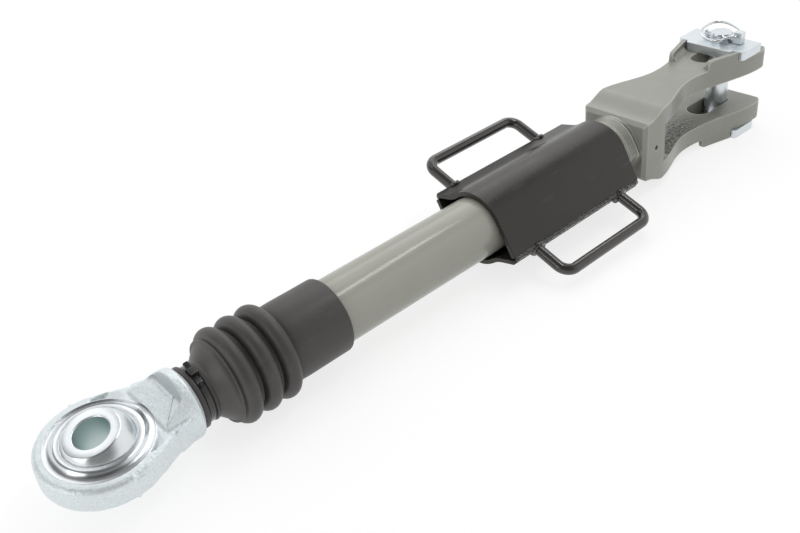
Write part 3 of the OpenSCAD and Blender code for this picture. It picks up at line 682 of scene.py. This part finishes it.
def make_eye():
    """Forged eye with soft pitted edges, and its turned dish as a crisp ring."""
    disc_r, axis_r, rim_r, edge_r, opening_r = 41.0, 0.01, 46.5, 4.0, 40.1
    body = clean_copy("ball_eye", "eye_forging_look")
    # a plain disc fills the dish while the forging is softened
    disc = spin("disc", [(-EYE_FACE, axis_r), (-EYE_FACE, disc_r), (EYE_FACE, disc_r), (EYE_FACE, axis_r)],
                on_eye)
    bm = bmesh.new()
    bm.from_mesh(body.data)
    bm.from_mesh(disc.data)
    bm.to_mesh(body.data)
    bm.free()
    bpy.data.objects.remove(disc)

    def keep(co):
        """Keeps the turned shoulder, seat and shank crisp."""
        return np.clip(co[:, 0] - SEAT_X, 0, 1)

    def carve(co):
        """Hollow of the boss with its near wall, and a round edge along the neck."""
        x, y, z = eye_frame(co)
        side = np.sign(z)
        height = np.abs(z)
        floor_z = EYE_FACE + (x - 35.0) * math.tan(math.radians(18))
        hollow = [(38.0, -26.5), (44.4, -24.6), (58.2, -18.6), (60.4, -15.0), (60.4, 18.0), (40.0, 30.0)]
        cut = inside_plan(x, y, hollow) & (height > floor_z)
        height = np.where(cut, floor_z, height)
        edge = np.interp(x, [0, 12, 27, 45], [48.5, 47.2, 41.7, 33.5]) - np.abs(y)
        rise = np.sqrt(np.maximum(0, edge_r ** 2 - (edge_r - np.clip(edge, 0, edge_r)) ** 2))
        on_neck = (x > 2) & (x < 44) & (height < EYE_FACE + 1)
        near = on_neck & (edge > -2) & (edge < edge_r)
        height = np.where(near, np.minimum(height, EYE_FACE - edge_r + rise), height)
        return np.stack(on_eye(side * height, x, y), axis=1)

    soft_solid(body, 0.62, 12, keep, carve)

    def depth(p):
        """Forged skin, roughest on the rim of the eye."""
        if p.x > SEAT_X + 0.5:
            return 0.0
        rim = max(0.0, 1 - abs(math.hypot(p.x, p.y) - rim_r) / 4.0) if p.x < 25 else 0.0
        return 0.20 * grain(p, 7.0) + 0.20 * grain(p, 2.4, 3.0) ** 2 + 0.55 * rim * grain(p, 1.7, 8.0) ** 2

    skin(body, depth)
    # the disc goes, and the crisp ring takes its place
    co, _ = points_of(body)
    x, y, z = eye_frame(co)
    inside = (np.hypot(x, y) < opening_r) & (np.abs(z) < 20)
    bm = bmesh.new()
    bm.from_mesh(body.data)
    bm.verts.ensure_lookup_table()
    bmesh.ops.delete(bm, geom=[bm.verts[i] for i in np.nonzero(inside)[0]], context="VERTS")
    bm.to_mesh(body.data)
    bm.free()
    stand_for(body, "eye", "ball_eye")

    top = [(14.30, math.sqrt(RACE_R ** 2 - 14.3 ** 2)), (14.48, 27.9), (14.5, 28.4), (14.5, 31.0)]
    top += [(14.35, 31.5), (14.1, 32.2)]
    dish_in, dish_out, dish_round = 32.7, 39.55, 8.7
    for k in range(13):
        r = dish_in + (dish_out - dish_in) * k / 12
        top.append((19 - math.sqrt(dish_round ** 2 - (39.7 - r) ** 2), r))
    top += [(10.45, 39.7), (11.20, 39.72), (11.36, 39.80), (11.42, 40.0), (11.40, 40.6), (10.9, 41.2)]
    under = [(-s, r) for s, r in reversed(top)]
    inner = [(s, math.sqrt(RACE_R ** 2 - s * s)) for s in np.linspace(-13.6, 13.6, 13)]
    ring = spin("eye_dish_look", top + under + inner, on_eye, 128)
    stand_for(ring, "eye", slot="eye_zinc", look=TURNED)


make_eye()


def make_ball():
    """Swivel ball with chamfered bore and flats."""
    half, rim_x = 22.45, 21.9
    rim = math.sqrt(BALL_R * BALL_R - rim_x ** 2)
    top = [(0.0, BALL_BORE_R), (21.5, BALL_BORE_R), (22.0, 14.05), (22.4, 14.5), (half, 14.8), (half, 21.1)]
    top += [(22.36, 21.4), (rim_x, rim)]
    for angle in np.linspace(43.5, 0, 22):
        top.append((BALL_R * math.sin(math.radians(angle)), BALL_R * math.cos(math.radians(angle))))
    under = [(-s, q) for s, q in reversed(top[1:-1])]
    ball = spin("swivel_ball_look", top + under, on_ball, 128)
    stand_for(ball, "ball", "swivel_ball")


make_ball()


# rubber boot and its tie

def make_boot():
    """Moulded boot with three folds, stretched between the eye and its cuff on the tube."""
    crests = [109, 128, 147]
    fold_mid_r, fold_r, inside_r = 34.75, 7.45, 4.5
    outer = [(71.6, 20.05), (71.6, 25.2)] + arc(72.6, 25.4, 1.0, 150, 90, 3) + [(74.4, 26.5)]
    outer += arc(75.2, 25.7, 0.8, 80, 0, 3) + [(76.0, 24.0)] + arc(76.8, 23.6, 0.8, 180, 270, 3)
    outer += arc(82.2, 23.6, 0.8, 270, 360, 3) + [(83.0, 24.4)] + arc(84.4, 23.9, 1.3, 150, 40, 4)
    outer += [(86.6, 24.2), (88.6, 25.0), (91, 27.0), (95, 31.0), (99, 34.7)]
    outer += arc(99.6, 34.4, 2.3, 120, 20, 4)
    for k, x in enumerate(crests):
        outer += arc(x, fold_mid_r, fold_r, 165 if k == 0 else 195, -15, 16)
        if k < 2:
            outer += [(x + 8.3, 32.6), (x + 9.5, 32.1), (x + 10.7, 32.6)]
    outer += [(155.6, 33.2), (157.2, 33.8), (160, 34.3), (170, 34.55), (190, 34.55), (209.4, 34.55)]
    outer += arc(209.8, 33.35, 1.2, 80, 0, 3) + [(211.0, 30.06)]
    inner = [(160, 30.06), (156.5, 31.6)]
    for x in reversed(crests):
        inner += [(x + inside_r, 31.4)] + arc(x, fold_mid_r, inside_r, 0, 180, 8) + [(x - inside_r, 31.4)]
    inner += [(90, 22.1), (87, 20.05)]

    def wobble(x, r, a):
        """Parting line of the mould and a slight waviness, behind the bead."""
        if r <= 24.9 or x <= 88:
            return 0.0
        line = 0.20 * math.exp(-((math.sin(a - 0.5)) / 0.012) ** 2) if r > 33.4 else 0.0
        return line + 0.22 * noise.noise(Vector((x * 0.05, math.cos(a) * 1.4, math.sin(a) * 1.4))) - 0.05

    boot = spin("rubber_boot_look", outer + inner, along_rod, 160, wobble)
    stand_for(boot, None, "rubber_boot")
    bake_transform(boot)


make_boot()


def make_tie():
    """Cable tie with a ribbed head, a cut tail and a latch."""
    tie = clean_copy("boot_cable_tie", "boot_cable_tie_look")
    bm = bmesh.new()
    bm.from_mesh(tie.data)

    def block(angle, r, size, lean=0.0):
        """Small block on the band, placed by angle and radius, with its size along, round and out."""
        a, tilt = math.radians(angle), math.radians(lean)
        out = Vector((0, math.cos(a), math.sin(a)))
        turn = Vector((0, math.sin(a), -math.cos(a)))
        side = turn * math.cos(tilt) + out * math.sin(tilt)
        face = out * math.cos(tilt) - turn * math.sin(tilt)
        place = Matrix((Vector((1, 0, 0)), side, face)).transposed().to_4x4()
        place.translation = (Vector((TIE_X, 0, 0)) + out * r) * MM
        scale = Matrix.Diagonal((size[0] * MM, size[1] * MM, size[2] * MM, 1))
        bmesh.ops.create_cube(bm, size=1.0, matrix=place @ scale)

    tail_lean = 24
    for k in range(4):
        block(95 + 4.6 * k, 28.4, (6.0, 0.9, 1.6))
    block(90, 28.9, (4.4, 6.4, 1.3), tail_lean)
    for k in range(3):
        block(93 - 3.4 * k, 29.3 + 0.75 * k, (3.8, 0.7, 1.2), tail_lean)
    block(122, 25.0, (5.6, 4.0, 1.6))
    block(131, 25.0, (2.6, 3.2, 1.4))
    bm.to_mesh(tie.data)
    bm.free()
    stand_for(edged(tie, 0.25), "eye", "boot_cable_tie")


make_tie()


# plain pieces with rounded edges: node, body, width of the edge, segments
EDGED = [
    ("sleeve_upper_shell", "sleeve", 0.7, 2), ("sleeve_lower_shell", "sleeve", 0.7, 2),
    ("upper_key_plate", "fork", 0.8, 3), ("lower_key_plate", "fork", 0.8, 3), ("clevis_pin", "fork", 0.4, 2),
    ("linch_pin", "fork", 0.9, 3), ("tube_shaped_nut", "tube", 0.8, 2),
]
for node_name, body_name, width, segments in EDGED:
    piece = edged(clean_copy(node_name, node_name + "_look"), width, segments)
    stand_for(piece, body_name, node_name)


# welds

def make_seam(node, seed):
    """Ragged bead along one seam of the sleeve."""
    lo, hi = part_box(node)
    y, z = (lo.y + hi.y) / 2 / MM, (lo.z + hi.z) / 2 / MM
    x0, x1 = lo.x / MM, hi.x / MM
    steps, sway, ripple_len = 230, 0.5, 3.1
    path = []
    for k in range(steps + 1):
        x = x0 + (x1 - x0) * k / steps
        p = Vector((x, seed, 0))
        sideways = sway * noise.noise(p / 6)
        upwards = sway * noise.noise(p / 5 + Vector((9, 0, 0)))
        path.append(Vector((x, y + sideways, z + upwards)))

    def radius(i, a):
        """Ripples of the bead and its lumps."""
        x = path[i].x
        ripple = 0.5 + 0.5 * math.sin(x * 2 * math.pi / ripple_len)
        lump = noise.noise(Vector((x / 4.5, math.cos(a), seed + math.sin(a))))
        return 2.5 + 0.25 * ripple + 0.6 * lump

    stand_for(sweep(node + "_look", path, radius, 18), "sleeve", node)


make_seam("right_seam_weld", 2.0)
make_seam("left_seam_weld", 7.0)


def make_leg_welds(node, side, reach, lump):
    """Lumpy welds round the two legs of a handle; reach from the rod's centre and size of the lumps."""
    lo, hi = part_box(node)
    slope, inset, drop, lumps = math.radians(20), 8.38, 1.1, 15
    along = Vector((1, 0, 0))
    out = Vector((0, side * math.cos(slope), side * math.sin(slope)))
    up = along.cross(out)
    bm = bmesh.new()
    for x in (lo.x / MM + inset, hi.x / MM - inset):
        base = Vector((x, 0, -drop)) + out * reach
        for k in range(lumps):
            a = 2 * math.pi * k / lumps + x
            size = lump + 1.4 * noise.noise(Vector((k * 1.7, x, side)))
            spot = base + along * (6.4 * math.cos(a)) + up * (5.2 * math.sin(a))
            spot += out * (1.6 * noise.noise(Vector((k * 2.3, side * 3, x * 0.3))) + 0.3)
            place = Matrix.Translation(spot * MM) @ Matrix.Scale(size * MM, 4)
            bmesh.ops.create_icosphere(bm, subdivisions=2, radius=1.0, matrix=place)
    mesh = bpy.data.meshes.new(node + "_look")
    bm.to_mesh(mesh)
    bm.free()
    blobs = link(node + "_look", mesh)
    soft_solid(blobs, 0.42, 3)
    stand_for(blobs, "sleeve", node)


make_leg_welds("right_handle_welds", -1, 52.3, 3.1)
make_leg_welds("left_handle_welds", 1, 50.6, 2.5)


# linch ring

def make_ring():
    """Sprung wire loop over the clevis pin, with its kinked strand."""
    line = [(798.3, -22.0, 61.1), (801.5, -21.4, 61.0), (806.0, -17.5, 61.2), (811.0, -9.0, 61.6),
            (815.2, 1.0, 62.2), (816.4, 10.0, 62.7), (812.6, 17.4, 63.0), (805.0, 20.6, 62.9),
            (795.0, 21.0, 62.7), (785.0, 19.6, 62.3), (776.0, 15.4, 61.8), (769.8, 8.4, 61.2),
            (767.2, 0.6, 60.4), (768.4, -6.4, 59.6), (773.0, -10.6, 59.0), (778.0, -11.2, 59.3),
            (782.0, -12.6, 60.0), (785.4, -17.0, 60.7), (788.4, -21.2, 61.0), (791.0, -22.0, 61.1)]
    wire = sweep("linch_ring_look", smooth_path(line, 8), 1.4, 14)
    stand_for(wire, "linch_ring", "linch_ring")


make_ring()


# rolled thread of the spindle

def make_thread():
    """Left-hand rolled thread on the fork's spindle."""
    lo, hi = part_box("fork_spindle")
    x0, x1 = lo.x / MM, hi.x / MM
    pitch, root, crest = 3.0, 16.4, 17.95
    plain_x, axis_r = 596, 0.01
    step = 0.5
    rows = int((x1 - x0) / step)
    profile = [(x0 + (x1 - x0) * k / rows, crest) for k in range(rows + 1)]
    profile = [(x0, axis_r)] + profile + [(x1, axis_r)]

    def wobble(x, r, a):
        """Cuts the thread between its crests, up to the plain end at the fork's block."""
        if r < 1 or x > plain_x:
            return 0.0
        turn = (x / pitch + a / (2 * math.pi)) % 1.0
        height = min(1.0, max(0.0, 2.6 * abs(turn - 0.5) - 0.15))
        lead = min(1.0, (x - x0) / 3.0)
        return (root - crest) * (1 - height * lead)

    thread = spin("fork_spindle_look", profile, along_rod, 48, wobble)
    stand_for(thread, "fork", "fork_spindle")


make_thread()


# stage, lights, camera

def world_light():
    """Soft even room on a white background.

    Mirrors see it darker behind the camera, on the ceiling and in a high corner beyond the eye.
    """
    world = bpy.data.worlds.new("studio")
    bpy.context.scene.world = world
    world.use_nodes = True
    t = world.node_tree
    t.nodes.clear()

    def add(kind, *values):
        """New node with its inputs in order."""
        node = t.nodes.new(kind)
        for k, value in enumerate(values):
            if isinstance(value, bpy.types.NodeSocket):
                t.links.new(value, node.inputs[k])
            else:
                node.inputs[k].default_value = value
        return node

    def towards(place):
        """How far a ray points towards a place, 1 at most."""
        node = add("ShaderNodeVectorMath", direction, place)
        node.operation = "DOT_PRODUCT"
        return node.outputs["Value"]

    def darker(value, start, end, low):
        """Strength that falls smoothly from 1 to low while a value grows from start to end."""
        node = add("ShaderNodeMapRange", value, start, end, 1.0, low)
        node.interpolation_type = "SMOOTHSTEP"
        return node.outputs[0]

    def joined(operation, a, b):
        """One step of arithmetic."""
        node = add("ShaderNodeMath", a, b)
        node.operation = operation
        return node.outputs[0]

    rays = add("ShaderNodeLightPath").outputs
    direction = add("ShaderNodeTexCoord").outputs["Generated"]
    behind_camera = darker(towards((-0.40, -0.74, 0.54)), 0.55, 0.90, 0.25)
    corner = darker(towards((-0.44, 0.59, 0.68)), 0.87, 0.96, 0.22)
    ceiling = darker(add("ShaderNodeSeparateXYZ", direction).outputs["Z"], 0.66, 0.78, 0.27)
    room = joined("MULTIPLY", behind_camera, joined("MINIMUM", corner, ceiling))
    mirror = add("ShaderNodeBackground", (1, 1, 1, 1), room)
    soft = add("ShaderNodeBackground", (1, 1, 1, 1), 0.58)
    white = add("ShaderNodeBackground", (1, 1, 1, 1), 1.0)
    first = add("ShaderNodeMixShader", rays["Is Glossy Ray"], soft.outputs[0], mirror.outputs[0])
    clear = joined("MAXIMUM", rays["Is Camera Ray"], rays["Is Transmission Ray"])
    second = add("ShaderNodeMixShader", clear, first.outputs[0], white.outputs[0])
    add("ShaderNodeOutputWorld", second.outputs[0])


def stage():
    """Pale floor that the boot's folds and the fork's lower plate rest on."""
    under_folds, under_plate = Vector((140, 0, -42.4)), Vector((790, 0, -52.3))
    half_size, gap = 14000, 0.6
    along = (under_plate - under_folds).normalized()
    across = Vector((0, 1, 0))
    up = across.cross(-along).normalized()
    middle = (under_folds + under_plate) / 2 - up * gap
    corners = [middle + along * (sx * half_size) + across * (sy * half_size)
               for sx, sy in ((-1, -1), (1, -1), (1, 1), (-1, 1))]
    floor = mesh_from("floor", corners, [(0, 1, 2, 3)])
    n = Nodes("floor_look")
    n.set(Base_Color=(0.82, 0.82, 0.82, 1), Roughness=0.9, Specular_IOR_Level=0.1)
    path = n.add("ShaderNodeLightPath")
    seen = n.math("MAXIMUM", path.outputs["Is Camera Ray"],
                  n.math("MAXIMUM", path.outputs["Is Glossy Ray"], path.outputs["Is Transmission Ray"]))
    thin = n.add("ShaderNodeBsdfDiffuse", Color=(0.27, 0.27, 0.27, 1))
    glow = n.add("ShaderNodeEmission", Color=(1, 1, 1, 1), Strength=0.77)
    both = n.add("ShaderNodeAddShader", _0=thin.outputs[0], _1=glow.outputs[0])
    mixed = n.add("ShaderNodeMixShader", _0=seen, _1=n.bsdf.outputs[0], _2=both.outputs[0])
    n.tree.links.new(mixed.outputs[0], n.tree.nodes["Material Output"].inputs["Surface"])
    floor.data.materials.append(n.mat)


def softbox(name, place, target, along, width, height, radiance):
    """Rectangular lamp in metres with its width along a direction; radiance 1 looks white."""
    light = bpy.data.lights.new(name, "AREA")
    light.shape = "RECTANGLE"
    light.size, light.size_y = width, height
    light.energy = radiance * math.pi * width * height
    obj = bpy.data.objects.new(name, light)
    bpy.context.scene.collection.objects.link(obj)
    back = (Vector(place) - Vector(target)).normalized()
    side = Vector(along)
    side = (side - back * side.dot(back)).normalized()
    turned = Matrix((side, back.cross(side), back)).transposed().to_4x4()
    turned.translation = Vector(place)
    obj.matrix_world = turned


def camera():
    """Camera fitted to the photograph, with its place in metres and its focal length in pixels."""
    place = Vector((-0.142989, -0.544338, 0.471795))
    focal, photo_width, sensor = 951.712, 800, 36
    az, el, roll = math.radians(51.239), math.radians(33.736), math.radians(-6.710)
    forward = Vector((math.cos(az) * math.cos(el), math.sin(az) * math.cos(el), -math.sin(el)))
    level = Vector((math.sin(az), -math.cos(az), 0))
    over = level.cross(forward)
    right = level * math.cos(roll) + over * math.sin(roll)
    up = over * math.cos(roll) - level * math.sin(roll)
    data = bpy.data.cameras.new("camera")
    data.sensor_width = sensor
    data.lens = focal / photo_width * sensor
    data.clip_start = 0.01
    data.clip_end = 50
    obj = bpy.data.objects.new("camera", data)
    bpy.context.scene.collection.objects.link(obj)
    view = Matrix((right, up, -forward)).transposed().to_4x4()
    view.translation = place
    obj.matrix_world = view
    bpy.context.scene.camera = obj


# name, place, target, direction of the width, width, height, radiance
LAMPS = [
    ("strip", (0.835, -0.204, 1.2), (0.35, -0.05, 0.0), (0.65, 0.517, 0), 0.73, 0.15, 6.5),
    ("eye_box", (-0.15, 1.15, 1.6), (0.0, 0.2, 0), (1, 0, 0), 0.8, 1.3, 1.0),
    ("fork_box", (1.45, 0.98, 1.6), (0.9, 0.5, 0), (1, 0, 0), 1.5, 1.6, 1.2),
    ("left_box", (-1.5, -0.15, 0.75), (0.1, 0, 0), (0, 1, 0), 1.0, 0.8, 1.4),
]

world_light()
stage()
for lamp in LAMPS:
    softbox(*lamp)
camera()
bpy.context.scene.view_settings.view_transform = "Standard"
